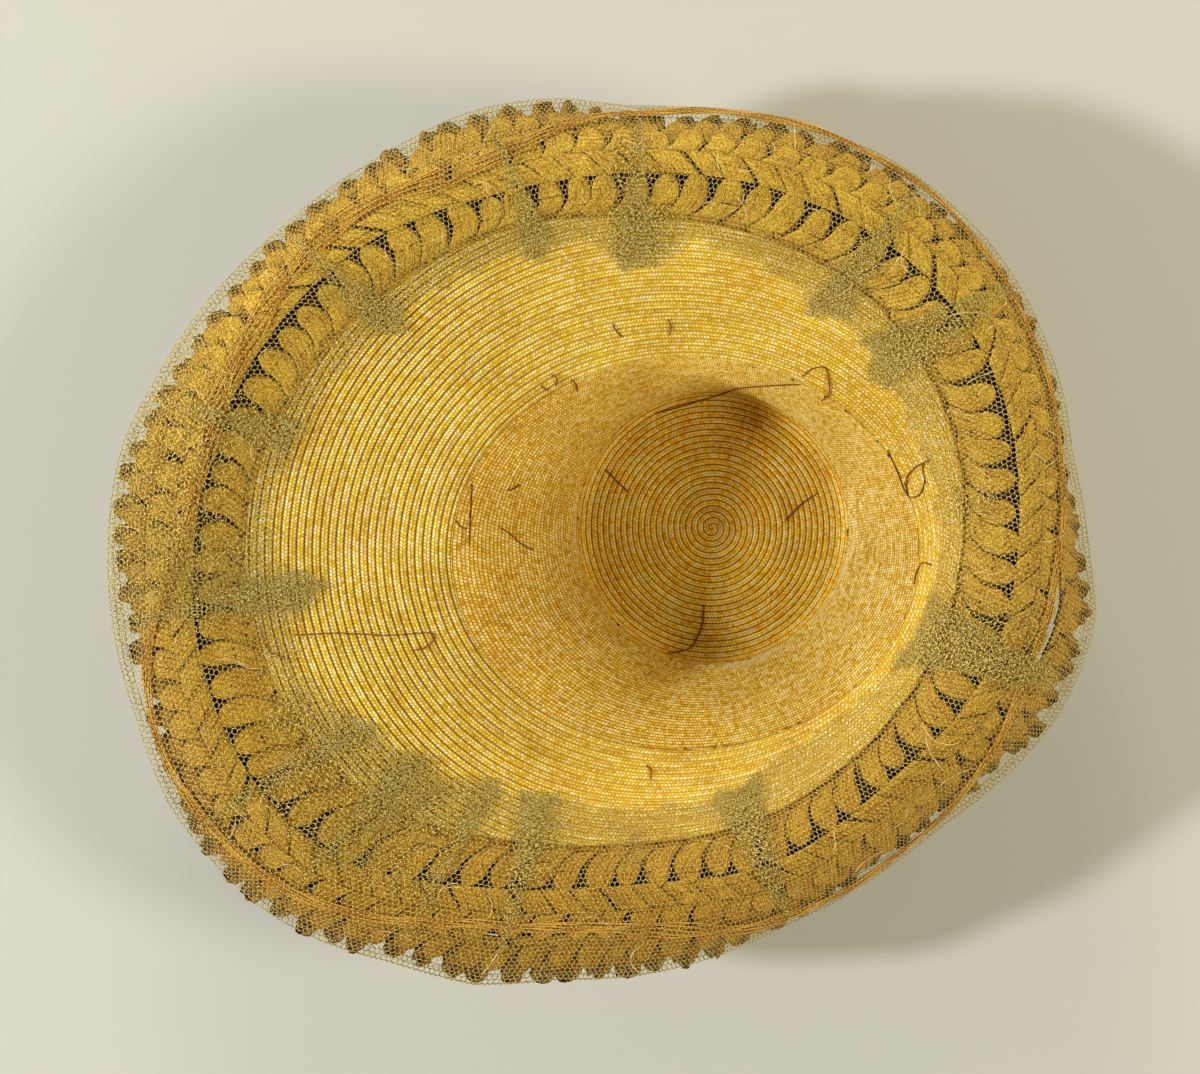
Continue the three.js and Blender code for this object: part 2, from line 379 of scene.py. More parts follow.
def start_finish(name, roughness):
    finish = bpy.data.materials.new(name)
    finish.use_nodes = True
    shader = finish.node_tree.nodes["Principled BSDF"]
    shader.inputs["Roughness"].default_value = roughness
    shader.inputs["Specular IOR Level"].default_value = SHINE
    return finish, finish.node_tree, shader


def own_map(tree):
    """The UV map that bends with the piece."""
    return add_node(tree, "UVMap", {}, uv_map="straw").outputs[0]


def place_on_hat(tree):
    return add_node(tree, "TexCoord", {}).outputs["Object"]


def end_finish(tree, shader, colour, height, strength, depth):
    """Give the shader its colour, and a relief of so many millimetres."""
    tree.links.new(colour, shader.inputs["Base Color"])
    relief = add_node(tree, "Bump", {"Strength": strength, "Distance": depth * MM, "Height": height})
    tree.links.new(relief.outputs[0], shader.inputs["Normal"])


# %% [markdown]
# ## Fine braid
#
# Fine braid is plaited from split straws: each row shows columns of little slanting cells, some dull
# and some catching the light, with a brown groove to the next row. A brick texture gives the cells, and
# a ping-pong of the row number bends them into chevrons. Each cell is painted brightest in its middle, and
# fine noise frays the cells and paints a few of them near white: both are painted highlights. Towards the
# wide side of the brim the grooves are painted darker, as shade where the light grazes them, and the foot
# of the crown's side is rubbed pale, so both can be mixed in by their place on the hat.

# %% Fine braid finish
BLEACHED = (0.86, 0.7, 0.36)
# scale of the noise that frays the cells and paints some of them near white, as glints
FLECKS = 520.0
FRAYING = 0.9  # how far the flecks shift a cell's border, in cells
GROOVE_FLOOR = 0.04  # where the groove is darkest, in rows from its middle
GROOVE_SHADE_FROM, GROOVE_SHADE_TO = -0.125, -0.05  # X in metres, between which the grooves' painted shade fades out


def add_straw_cells(tree, along, row, flecks, columns, lean):
    """Slanting cells of chance brightness, so many columns to a row, each painted brightest in its middle as
    a highlight.
    """
    slanted = add_maths(tree, "MULTIPLY_ADD", add_maths(tree, "PINGPONG", row, 0.5), 2 * lean, along)
    frayed = add_maths(tree, "MULTIPLY_ADD", flecks, FRAYING, slanted)
    place = add_node(tree, "CombineXYZ", {"X": frayed, "Y": add_maths(tree, "MULTIPLY", row, columns)})
    return add_node(tree, "TexBrick", {
        "Vector": place.outputs[0], "Scale": 1.0, "Brick Width": 1.0, "Row Height": 1.0,
        "Color1": (0.3, 0.3, 0.3, 1), "Color2": (1, 1, 1, 1), "Mortar": (0, 0, 0, 1),
        "Mortar Size": 0.36, "Mortar Smooth": 1.0,
    }, offset=0.5)


def add_rubbing(tree, colour, where, low, high):
    """Bleach broken patches of the straw between two heights."""
    height = add_node(tree, "SeparateXYZ", {0: where}).outputs["Z"]
    band = add_maths(tree, "PINGPONG", add_range(tree, height, low, high), 0.5)
    patches = add_range(tree, add_noise(tree, where, 5.0, 45.0), 0.5, 0.65)
    return add_mix(tree, add_maths(tree, "MULTIPLY", band, patches), colour, BLEACHED)


def fine_braid(
    name, shades, groove, columns=2.0, lean=0.7, groove_width=0.16, sparkle=(0.35, 1.5),
    worn=None, unshaded_groove=None,
):
    """Rows of straw cells. UV runs in cells along a row, and in rows across. sparkle is how dull and how
    bright the flecks are, the brightest being painted glints, worn gives the heights between which rubbing
    bleached the straw, and the last argument the groove's colour where it is not painted darker as shade."""
    finish, tree, shader = start_finish(name, 0.45)
    uv, where = own_map(tree), place_on_hat(tree)
    along, row = add_node(tree, "SeparateXYZ", {0: uv}).outputs[:2]
    flecks = add_noise(tree, where, 2.0, FLECKS)
    cells = add_straw_cells(tree, along, row, flecks, columns, lean)
    # the flecks make cells duller or brighter, and the brightest are painted near white, as glints
    shine = add_range(tree, flecks, 0.35, 0.65, *sparkle)
    colour = add_ramp(tree, add_maths(tree, "MULTIPLY", cells.outputs["Color"], shine), shades)
    # towards the wide side of the brim, at -X, the grooves are painted darker, as shade where the light
    # grazes them
    if unshaded_groove:
        side = add_node(tree, "SeparateXYZ", {0: where}).outputs["X"]
        groove = add_mix(tree, add_range(tree, side, GROOVE_SHADE_FROM, GROOVE_SHADE_TO), groove, unshaded_groove)
    crest = add_maths(tree, "PINGPONG", row, 0.5)
    colour = add_mix(tree, add_range(tree, crest, GROOVE_FLOOR, groove_width), groove, colour)
    stains = add_noise(tree, where, 4.0, 28.0)
    colour = add_tint(tree, colour, stains, 0.3, 0.65, (0.86, 0.78, 0.62))
    streaks = add_noise(tree, uv, 2.0, drawn=(0.09, 1.0))
    colour = add_tint(tree, colour, streaks, 0.3, 0.6, (0.8, 0.72, 0.6))
    if worn:
        colour = add_rubbing(tree, colour, where, *worn)
    raised = add_maths(tree, "SUBTRACT", 1.0, cells.outputs["Fac"])
    end_finish(tree, shader, colour, raised, 0.5, 0.3)
    return finish


# %% [markdown]
# ## Flat straw
#
# The wide plaits are single flat straws, so they show fibres instead of cells. Noise that is drawn out
# along the straw gives the fibres, and wider noise the blotches of age. Broken dark lines run across the
# straw, and each straw is creased along its length, with dark lines painted as the shade of its creases.
# The straw is also painted darker and browner towards -Y. Its rim, and where it is sunk in the weave as
# the piece's own attribute says, are painted dark as shade.

# %% Flat straw finish
SIDE_TONE_FROM, SIDE_TONE_TO = -0.15, 0.11  # Y in metres: the straw is painted darkest and brownest up to the first, and plain from the second
CREASES = 3.0
RIM_SHADE_SHARE = 0.07  # share of a straw's width that the painted shade at its rim takes up at most


def add_blotches_and_side_tone(tree, colour, lobes, mottle):
    """Dull lobes, blotches, and straw that is painted darker and browner towards -Y."""
    colour = add_tint(tree, colour, lobes, 0.3, 0.6, (0.78, 0.68, 0.52))
    colour = add_tint(tree, colour, mottle, 0.35, 0.55, (0.78, 0.66, 0.48))
    across_hat = add_node(tree, "SeparateXYZ", {0: place_on_hat(tree)}).outputs["Y"]
    towards_plus_y = add_range(tree, across_hat, SIDE_TONE_FROM, SIDE_TONE_TO)
    return add_tint(tree, colour, towards_plus_y, 0.0, 1.0, (0.72, 0.62, 0.42))


def add_dark_lines(tree, colour, marks_and_shade, uv, across, lobes, mottle, creased):
    """Broken dark lines across the straw, and creases along it painted dark as their shade."""
    crossing = add_node(tree, "TexWave", {
        "Vector": uv, "Scale": 0.031, "Distortion": 3.0, "Detail": 1.0,
    }, wave_type="BANDS", bands_direction="X")
    line = add_range(tree, crossing.outputs["Fac"], 0.0, 0.012)
    whole = add_maths(tree, "MAXIMUM", line, add_range(tree, mottle, 0.42, 0.52))
    colour = add_mix(tree, whole, marks_and_shade, colour)
    # the creases are painted as dark lines, standing for their shade
    third = add_maths(tree, "PINGPONG", add_maths(tree, "MULTIPLY", across, CREASES), 0.5)
    crease = add_range(tree, third, 0.0, 0.09, creased, 0.0)
    unbroken = add_range(tree, lobes, 0.6, 0.45)
    return add_mix(tree, add_maths(tree, "MULTIPLY", crease, unbroken), colour, marks_and_shade)


def flat_straw(name, shades, marks_and_shade, creased=0.7):
    """A wide straw, painted dark as shade at its rim and where it is sunk in the weave. UV runs in
    millimetres along, and 0 to 1 across."""
    finish, tree, shader = start_finish(name, 0.55)
    uv = own_map(tree)
    across = add_node(tree, "SeparateXYZ", {0: uv}).outputs["Y"]
    fibres = add_noise(tree, uv, 3.0, drawn=(0.35, 26.0))
    lobes = add_noise(tree, uv, 1.0, drawn=(0.11, 1.2))
    mottle = add_noise(tree, uv, 5.0, drawn=(0.45, 6.0))
    colour = add_blotches_and_side_tone(tree, add_ramp(tree, fibres, shades), lobes, mottle)
    colour = add_dark_lines(tree, colour, marks_and_shade, uv, across, lobes, mottle, creased)
    # the rim of each straw is painted dark, as the shade in the slit beside it
    rim = add_maths(tree, "PINGPONG", across, 0.5)
    rim_shade_width = add_maths(tree, "MULTIPLY", add_noise(tree, uv, 3.0, 0.7), RIM_SHADE_SHARE)
    off_rim = add_node(tree, "Clamp", {"Value": add_maths(tree, "DIVIDE", rim, rim_shade_width)}).outputs[0]
    colour = add_mix(tree, off_rim, marks_and_shade, colour)
    # parts sunk in the weave are painted dark, as shade
    depth = add_node(tree, "Attribute", {}, attribute_name="sunk_shade").outputs["Fac"]
    colour = add_mix(tree, add_range(tree, depth, 0.3, 0.95), colour, marks_and_shade)
    end_finish(tree, shader, colour, fibres, 0.45, 0.25)
    return finish


# %% [markdown]
# ## Thread
#
# Wire cover, net, stitches and tape are all spun or woven. Slanting bands round the thread are enough at
# this size: a wave texture gives them, and it also raises them a little.

# %% Thread finish


def spun_thread(name, shades, pitch, bands=1.0, roughness=0.6):
    """Thread spun with so many millimetres to a turn. UV runs in millimetres along, and 0 to 1 round."""
    finish, tree, shader = start_finish(name, roughness)
    wound = add_node(tree, "Mapping", {"Vector": own_map(tree), "Scale": (1 / pitch, bands, 1.0)})
    turns = add_node(tree, "TexWave", {
        "Vector": wound.outputs[0], "Scale": 2 / TURN, "Distortion": 1.0, "Detail": 1.0,
    }, wave_type="BANDS", bands_direction="DIAGONAL").outputs["Fac"]
    end_finish(tree, shader, add_ramp(tree, turns, shades), turns, 0.5, 0.15)
    return finish


# %% [markdown]
# ## Shades of the hat
#
# Straw is not one yellow. The tip's ramp is the most orange, the outer plaits and the frill are darker
# than the inner plaits, and the silk of the net is a grey olive. One finish with a single colour would look
# like plastic, so each piece has a ramp from its dark cells or fibres to its bright ones.

# %% Mix the fine braids
# the brightest stops of the fine braids are painted glints on the cells
BRIM_SHADES = [
    (0.0, (0.54, 0.275, 0.006)), (0.13, (0.75, 0.5, 0.022)), (0.32, (0.9, 0.7, 0.08)),
    (0.55, (0.97, 0.89, 0.28)), (0.8, (0.98, 0.98, 0.76)),
]
CROWN_SHADES = [
    (0.0, (0.48, 0.2, 0.002)), (0.13, (0.74, 0.44, 0.01)), (0.36, (0.96, 0.73, 0.08)),
    (0.72, (1.0, 0.99, 0.62)),
]
TIP_SHADES = [
    (0.0, (0.84, 0.33, 0.002)), (0.13, (1.0, 0.58, 0.01)), (0.36, (1.0, 0.86, 0.06)),
    (0.72, (1.0, 1.0, 0.52)),
]
brim_straw = fine_braid(
    "brim straw", BRIM_SHADES, (0.25, 0.085, 0.003),
    groove_width=0.21, sparkle=(0.5, 1.3), unshaded_groove=(0.64, 0.36, 0.02),
)
crown_straw = fine_braid(
    "crown straw", CROWN_SHADES, (0.42, 0.18, 0.004),
    columns=1.0, lean=0.4, groove_width=0.12, worn=(0.004, 0.014),
)
tip_straw = fine_braid("tip straw", TIP_SHADES, (0.3, 0.09, 0.002), groove_width=0.17, sparkle=(0.2, 1.7))
print(len(bpy.data.materials), "braid finishes mixed")

# %% Mix the flat straws and the threads
PLAIT_SHADES = [(0.3, (0.49, 0.235, 0.008)), (0.48, (0.76, 0.455, 0.026)), (0.66, (0.95, 0.69, 0.085))]
OUTER_SHADES = [(0.3, (0.35, 0.152, 0.005)), (0.48, (0.59, 0.33, 0.017)), (0.66, (0.81, 0.55, 0.066))]
PICOT_SHADES = [(0.32, (0.16, 0.055, 0.002)), (0.48, (0.38, 0.175, 0.008)), (0.66, (0.82, 0.54, 0.09))]
plait_straw = flat_straw("plait straw", PLAIT_SHADES, (0.08, 0.027, 0.003))
outer_straw = flat_straw("outer plait straw", OUTER_SHADES, (0.06, 0.02, 0.002), creased=0.9)
picot_straw = flat_straw("picot straw", PICOT_SHADES, (0.04, 0.013, 0.001), creased=0.9)

WIRE_SHADES = [(0.1, (0.36, 0.12, 0.005)), (0.6, (0.78, 0.41, 0.045))]
NET_SHADES = [(0.15, (0.12, 0.084, 0.012)), (0.55, (0.31, 0.225, 0.04)), (0.92, (0.76, 0.61, 0.2))]
FOLD_SHADES = [(0.15, (0.16, 0.105, 0.012)), (0.6, (0.42, 0.29, 0.044)), (0.95, (0.9, 0.67, 0.18))]
STITCH_SHADES = [(0.2, (0.16, 0.045, 0.007)), (0.8, (0.32, 0.12, 0.024))]
STRAY_SHADES = [(0.2, (0.6, 0.42, 0.14)), (0.8, (0.85, 0.7, 0.36))]
# the dark strips behind the seams are a painted shade
SEAM_SHADE_TONES = [(0.2, (0.05, 0.02, 0.004)), (0.8, (0.13, 0.055, 0.01))]
wire_thread = spun_thread("wire thread", WIRE_SHADES, 16.0, bands=4.0)
net_silk = spun_thread("net silk", NET_SHADES, 0.6, roughness=0.75)
folded_silk = spun_thread("folded net silk", FOLD_SHADES, 0.6, roughness=0.8)
loose_thread = spun_thread("loose thread", STITCH_SHADES, 0.5)
stray_straw = spun_thread("stray straw", STRAY_SHADES, 3.0)
seam_shade_finish = spun_thread("seam shade", SEAM_SHADE_TONES, 0.6, roughness=0.9)
print(len(bpy.data.materials), "finishes mixed in all")

# %% [markdown]
# ## The crown tip
#
# Braid starts in the middle of the tip and winds outwards, each turn sewn to the last, so the rows
# are one long spiral. Separate rings would be quicker to draw, but the start in the middle and the
# step where a row ends would be missing. So the row number grows by one with every turn of the grid.

# %% Wind the tip
BRAID_SHEET = 1.0
ROW_STEPS = 4  # faces across a row
ROW_OFFSET = 0.618  # cells by which each row starts further on than the last
TIP_ROW = 2.6
TIP_CELL = 1.5  # length of one straw cell along a row
TIP_CREST = 0.5  # how far a row's back stands out
TIP_FLAT = 52  # distance from the middle at which the tip starts to turn up
TIP_PROFILE = np.array([[0, 1], [50, 1], [54, 1.35], [56.8, 2.4], [58.6, 4.2], [59.5, 6.1], [60, 8]])
tip_gone = np.concatenate([[0], np.linalg.norm(np.diff(TIP_PROFILE, axis=0), axis=1).cumsum()])
tip_rows = int(np.ceil(tip_gone[-1] / TIP_ROW)) + 1


def crest_height(row):
    """A row's rounded back: 0 in the groove and 1 in its middle."""
    return np.sqrt(np.abs(np.sin(np.pi * row)))


def cells_along(u, row, radius, cell):
    """Straw cells along a row of this radius, each row starting at another place."""
    return np.maximum(np.round(TURN * radius / cell), 3) * u + ROW_OFFSET * row


def tip_place(u, v, strip):
    angle = -TURN * u
    gone = np.clip((v * tip_rows + u - 1) * TIP_ROW, 0, tip_gone[-1])
    radius = np.interp(gone, tip_gone, TIP_PROFILE[:, 0])
    height = np.interp(gone, tip_gone, TIP_PROFILE[:, 1])
    wall = np.interp(gone, [TIP_FLAT, tip_gone[-1]], [0, 1])
    lift = TIP_CREST * crest_height(v * tip_rows) * np.minimum(gone, 1.0)
    radius = radius - lift * wall
    height = height + lift * (1 - wall)
    return np.stack([radius * np.cos(angle), radius * np.sin(angle), height], axis=-1)


def tip_paint(u, v, strip, face_v):
    row = np.floor(face_v * tip_rows)
    return cells_along(u, row, row * TIP_ROW, TIP_CELL), v * tip_rows


tip = bent_grids("crown_tip", 240, tip_rows * ROW_STEPS, tip_place, tip_paint)
dress(thicken(tip, BRAID_SHEET), tip_straw, "crown_braid", "crown")

# %% [markdown]
# ## The crown's side
#
# From the tip's foot the same fine braid climbs to the head ring, flaring more as it rises. The side
# is short on the narrow side of the hat and long on the wide side, and the braid is drawn in to suit,
# so the number of rows is the same all round and each row is as wide as its place allows.

# %% Wind the side
SIDE_ROWS = 38
SIDE_TURNS = SIDE_ROWS + 1  # the spiral needs one turn more to end level
SIDE_CELL = 1.3
SIDE_CREST = 0.4
SLOPE_STEP = 0.004  # distance over which the side's slope is measured
WALL_FLARE = 1.25
TIP_MIDDLE = np.zeros(2)
FOOT_RADIUS, FOOT_HEIGHT = TIP_PROFILE[-1]


def on_side(angle, part):
    """The side at an angle from the middle of the tip, part of the way from foot to ring."""
    top = on_ring(TIP_MIDDLE, angle)
    top_radius = np.hypot(top[..., 0], top[..., 1])
    radius = FOOT_RADIUS + (top_radius - FOOT_RADIUS) * np.clip(part, 0, 1) ** WALL_FLARE
    height = FOOT_HEIGHT + (top[..., 2] - FOOT_HEIGHT) * part
    return np.stack([radius * np.cos(angle), radius * np.sin(angle), height], axis=-1)


def side_place(u, v, strip):
    angle = -TURN * u
    part = np.clip((v * SIDE_TURNS + u - 1) / SIDE_ROWS, 0, 1)
    up = on_side(angle, part + SLOPE_STEP) - on_side(angle, part - SLOPE_STEP)
    on = on_side(angle + SLOPE_STEP, part) - on_side(angle - SLOPE_STEP, part)
    normal = np.cross(up, on)
    normal /= np.linalg.norm(normal, axis=-1, keepdims=True)
    return on_side(angle, part) + normal * (SIDE_CREST * crest_height(v * SIDE_TURNS))[:, None]


def side_paint(u, v, strip, face_v):
    row = np.floor(face_v * SIDE_TURNS)
    return cells_along(u, row, FOOT_RADIUS + row, SIDE_CELL), v * SIDE_TURNS


side = bent_grids("crown_side", 260, SIDE_TURNS * ROW_STEPS, side_place, side_paint)
dress(thicken(side, BRAID_SHEET), crown_straw, "crown_braid", "crown")

# %% [markdown]
# ## The fine brim
#
# The brim's braid is a little wider, and its rows lie parallel to the head ring. Where the brim is
# narrow the rows run out under the plaits one by one, so they are laid at a fixed width from the ring
# and cut off along the fine straw's edge, whose last row lies over the first plait.

# %% Lay the brim's rows
BRIM_ROW = 3.3
BRIM_CELL = 1.6
BRIM_CREST = 0.6
BRIM_SHEET = 0.9
BRIM_OVERLAP = 1.5
BRIM_LIFT = 0.5
HEM_LIFT = 0.3
EASING = 8  # distance over which the brim rises at the ring, and again at its hem
brim_rows = int(np.ceil(marks["fine"].max() / BRIM_ROW)) + 2


def brim_place(u, v, strip):
    angle = -TURN * u
    end = mark("fine", angle) + BRIM_OVERLAP
    reach = np.clip((v * brim_rows + u - 1) * BRIM_ROW, 0, end)
    hem = HEM_LIFT * np.interp(end - reach, [0, EASING], [1, 0])
    settled = np.clip(reach / EASING, 0, 1)
    return on_brim(angle, reach, settled * (BRIM_LIFT + hem) + BRIM_CREST * crest_height(v * brim_rows))


def brim_paint(u, v, strip, face_v):
    row = np.floor(face_v * brim_rows)
    return cells_along(u, row, RING_HALVES.mean() + row * BRIM_ROW, BRIM_CELL), v * brim_rows


brim = bent_grids("brim_rows", 400, brim_rows * ROW_STEPS, brim_place, brim_paint)
dress(thicken(brim, BRIM_SHEET), brim_straw, "brim_braid", "brim")

# %% [markdown]
# ## The coarse plaits
#
# Round the edge run three plaits of wide flat straw. What shows of such a plait is a row of lobes: each
# straw comes up slanting from under its neighbour, turns straight outwards and folds over at the edge
# with a rounded end. Straws that lean the other way lie on top near the foot and pass under further
# out. Whole zigzag strands could be woven, but their ends stay narrow and straight, so each lobe is a
# grid of its own with a rounded end, in two layers that change places at the crossing. A lobe is tilted
# so that it overlaps the next like a scale. Chance in width, place, tilt and curl makes it look
# hand-made, and its sunk side is painted dark, as the shade under the straws that cross it.

# %% Helper: measure along a line and crumple a lobe
rng = np.random.default_rng(7)


def evenly(reach):
    """Angles for equal lengths along a line round the brim, and the line's whole length."""
    line = on_brim(angles, reach(angles))
    steps = np.linalg.norm(np.roll(line, -1, axis=0) - line, axis=-1)
    shares = np.concatenate([[0], steps.cumsum()]) / steps.sum()
    turns = np.append(angles, TURN)
    return lambda share: np.interp(np.mod(share, 1.0), shares, turns), steps.sum()


def crumpled(v, gone, turn, shift, tilt):
    """Waves that cross each other on a lobe, at other places on each."""
    waves = np.sin(TURN * (2.2 * v + 1.4 * gone + turn)) * np.sin(TURN * (1.7 * gone + shift))
    return waves + 0.6 * np.sin(TURN * (3.9 * v - 2.3 * gone + tilt))


# %% Helper: lay the lobes of a plait
LOBE_GRID = (10, 6)
LOBE_LENGTH = 30
LOBE_SHIFT = (47, 2)  # moves each lobe to another part of the finish
STRAW_SHEET = 0.3
OVERLAP = 0.14  # share of its width by which a lobe passes under the next
PARTING = 0.4  # share of a lobe's way from which it draws apart from the next
TILT = 0.38  # how far a lobe's sides stand above and below its middle
BULGE = 0.07  # how far a lobe's middle stands out
DIP = 1.1  # how deep a straw goes under the ones that cross it
DIP_WAY = 0.16  # share of a lobe's way over which it dips
KNEE = 0.66  # share of a lobe's way from which it points straight outwards
KNEE_BEND = 0.12  # how softly it turns there
UNDERLAP, UNDERLAP_WAY = 1.8, 4  # how deep a plait dips under its neighbour, and over what distance
SHADED_SHARE = 0.2  # share of a lobe's width, from one side, that is painted dark as shade
SHADE_WAY = 0.14  # share of a lobe's way over which that painted shade begins
LOWER_SHADE, CROSSED_SHADE = 0.7, 0.8  # how dark the shade painted on the crossing straws' sides is, and on a straw that dips
SCOOP_START, SCOOP_WAY = 0.4, 0.3  # share of its way from which a hollow lobe is painted dark as shade, and over which
VARY_PLACE, VARY_WIDTH, VARY_LENGTH = 0.12, 0.1, 0.06  # how far chance moves each lobe's measures
VARY_TILT, VARY_CURL, VARY_SLANT, VARY_SHADE = 0.4, 0.5, 0.2, 0.1


def plait(
    name, first, last, cover, lobes, lift, lean, rounding, crossing, start=0.0, crack=0.18, point=0.7,
    shade_strength=1.0, rough=1.0, crinkle=0.0, hollow=0.0, width=1.0,
):
    """A row of lobes from one line of the brim to another, dipping under what ends at the cover line. lean
    is how far a lobe's foot lies to the side of its end, and rounding the length of its end, which is
    blunter with a small point. Straws that lean the other way lie on top up to the crossing share of the
    way. rough scales all chance, crinkle crumples a lobe, and a hollow one is scooped out and painted dark
    as shade. The shade painted where a straw is sunk can be made stronger."""
    at, length = evenly(lambda angle: (first(angle) + last(angle)) / 2)
    pitch = length / lobes
    shift, broad, long, tilt, curl, turn, slit = rough * rng.uniform(-1, 1, (7, lobes))

    def walk(u, which):
        """The share of its way that a lobe has gone, and how much of its width is left there."""
        middle = at((which + 0.5 + start) / lobes)
        straight = 1 - rounding / (last(middle) - first(middle))
        round_part = np.clip(2 * u - 1, 0, 1) * np.pi / 2
        gone = np.where(u < 0.5, 2 * u * straight, straight + (1 - straight) * np.sin(round_part))
        open_part = np.clip((gone - PARTING) / (straight - PARTING), 0, 1)
        return gone, width * np.cos(round_part) ** point * (1 + OVERLAP - crack * open_part)

    def place(u, v, strip):
        layer, which = np.divmod(np.round(strip).astype(int), lobes)
        gone, full = walk(u, which)
        side = 2 * v - 1
        behind = np.clip(KNEE - gone, 0, None) / KNEE
        slant = lean * (1 + VARY_SLANT * turn[which])
        slant = slant * behind ** 2 / (behind + KNEE_BEND) * (1 + KNEE_BEND)
        aside = side * pitch / 2 * full * (1 + VARY_WIDTH * broad[which])
        aside = aside + VARY_PLACE * pitch * shift[which] + np.where(layer == 0, slant, -slant)
        angle = at((which + 0.5 + start) / lobes + aside / length)
        ripple = crinkle * crumpled(v, gone, turn[which], shift[which], tilt[which])
        reach = first(angle) + (last(angle) - first(angle)) * gone * (1 + VARY_LENGTH * long[which] * gone)
        reach = reach + ripple * gone
        up = TILT * side * (1 + VARY_TILT * tilt[which]) + BULGE * (1 - side ** 2)
        up = up + (VARY_CURL * curl[which] + ripple) * gone ** 2 - hollow * (1 - side ** 2) * gone
        over = np.clip((gone - crossing) / DIP_WAY + 0.5, 0, 1)
        under = np.where(layer == 0, 1 - over, over * (1 + gone))
        covered = np.clip((cover(angle) - reach) / UNDERLAP_WAY, 0, 1)
        return on_brim(angle, reach, lift + up - DIP * under - UNDERLAP * covered)

    def paint(u, v, strip, face_v):
        return LOBE_LENGTH * u + LOBE_SHIFT[0] * strip, v + LOBE_SHIFT[1] * strip

    # painted shade: dark beside the crossing straws, where a straw dips under, and in a hollow lobe
    def sunk_shade(u, v, strip):
        layer, which = np.divmod(np.round(strip).astype(int), lobes)
        gone = walk(u, which)[0]
        begins = np.clip((gone - crossing - VARY_SHADE * slit[which]) / SHADE_WAY, 0, 1)
        beside = np.clip(1 - v / SHADED_SHARE, 0, 1) * np.where(layer == 0, begins, LOWER_SHADE)
        passing = np.where(layer == 0, crossing - gone, gone - crossing) / (DIP_WAY / 2) + 0.5
        scooped = hollow * (1 - np.abs(2 * v - 1)) * np.clip((gone - SCOOP_START) / SCOOP_WAY, 0, 1)
        return np.clip(shade_strength * np.maximum(beside, CROSSED_SHADE * np.clip(passing, 0, 1)) + scooped, 0, 1)

    return bent_grids(name, *LOBE_GRID, place, paint, 2 * lobes, sunk_shade)


# %% Plait the inner and middle rows
GAPS = [
    (0, 1.8), (30, 1.8), (60, 0.6), (90, 0.2), (120, 0.2), (145, 1.8), (165, 1.2), (205, 1.8),
    (230, 0.6), (270, 0.2), (300, 1.2), (330, 1.0), (360, 1.8),
]  # degrees, and how far the inner plait's lobes stay clear of the middle plait there
inner = plait(
    "plait_inner_straws",
    lambda angle: mark("fine", angle) - 8,
    lambda angle: mark("lap", angle) - by_degrees(GAPS, angle),
    lambda angle: mark("fine", angle) - 1,
    lobes=78, lift=0.0, lean=15.0, rounding=9.5, crossing=0.4, point=1.0,
)
dress(thicken(inner, STRAW_SHEET), plait_straw, "coarse_plait", "plait_inner")
middle = plait(
    "plait_middle_straws",
    lambda angle: mark("lap", angle) - 1,
    lambda angle: mark("lap", angle) + 21,
    lambda angle: mark("lap", angle) - 9,
    lobes=84, lift=0.4, lean=13.0, rounding=7.0, crossing=0.5, point=0.9, shade_strength=1.4, rough=0.9,
)
dress(thicken(middle, STRAW_SHEET), plait_straw, "coarse_plait", "plait_middle")

# %% [markdown]
# ## The outer row and its frill
#
# The last row has shorter lobes, and between them little brown loops of straw peep out and make a
# frill. Both are lobes of the same kind: those of the frill are narrow, scooped out and crumpled, by a
# ripple that bends a lobe up, down and in its outline.

# %% Plait the outer row and its frill
outer = plait(
    "plait_outer_straws",
    lambda angle: mark("straw_end", angle) - 23,
    lambda angle: mark("straw_end", angle) - 7,
    lambda angle: mark("lap", angle) + 19,
    lobes=96, lift=-0.3, lean=5.0, rounding=6.5, crossing=0.3,
    crack=0.24, point=0.8, shade_strength=1.4, rough=1.3, crinkle=0.3,
)
dress(thicken(outer, STRAW_SHEET), outer_straw, "picot_plait", "plait_outer")
frill = plait(
    "frilled_edging",
    lambda angle: mark("straw_end", angle) - 14,
    lambda angle: mark("straw_end", angle) - 0.5,
    lambda angle: mark("straw_end", angle) - 16,
    lobes=96, lift=-1.2, lean=3.0, rounding=5.0, crossing=0.2,
    start=0.5, rough=1.6, crinkle=0.9, hollow=1.1, width=0.8,
)
dress(thicken(frill, STRAW_SHEET), picot_straw, "picot_plait", "plait_outer")

# %% [markdown]
# ## Painted shade behind the seams
#
# Between the plaits' lobes the hat is dark. A dark strip behind each seam paints that shade, and shows
# through the gaps between the lobes. Narrow bent grids behind the plaits are enough.

# %% Lay dark strips behind the seams, as painted shade
# the line each strip follows, its start and stop past that line, and how deep it lies behind the straw
SHADE_STRIPS = [("lap", -25.0, 4.0, -2.4), ("lap", 3.0, 20.0, -2.2), ("straw_end", -19.0, -9.0, -2.2)]
SHADE_STRIP_SHEET = 0.3
SHADE_STRIP_LENGTH = 1000


def shade_strip_place(u, v, strip):
    angle = -TURN * u
    found = np.zeros((len(u), 3))
    for which, (line, start, stop, lift) in enumerate(SHADE_STRIPS):
        rows = np.round(strip) == which
        reach = mark(line, angle[rows]) + start + (stop - start) * v[rows]
        found[rows] = on_brim(angle[rows], reach, np.full(rows.sum(), lift))
    return found


def wound_paint(length):
    """A UV map in millimetres along a strip of this length."""
    return lambda u, v, strip, face_v: (length * u, v)


shade_strips = bent_grids("seam_shade_strips", 360, 3, shade_strip_place, wound_paint(SHADE_STRIP_LENGTH), count=len(SHADE_STRIPS))
dress(thicken(shade_strips, SHADE_STRIP_SHEET), seam_shade_finish, "coarse_plait")

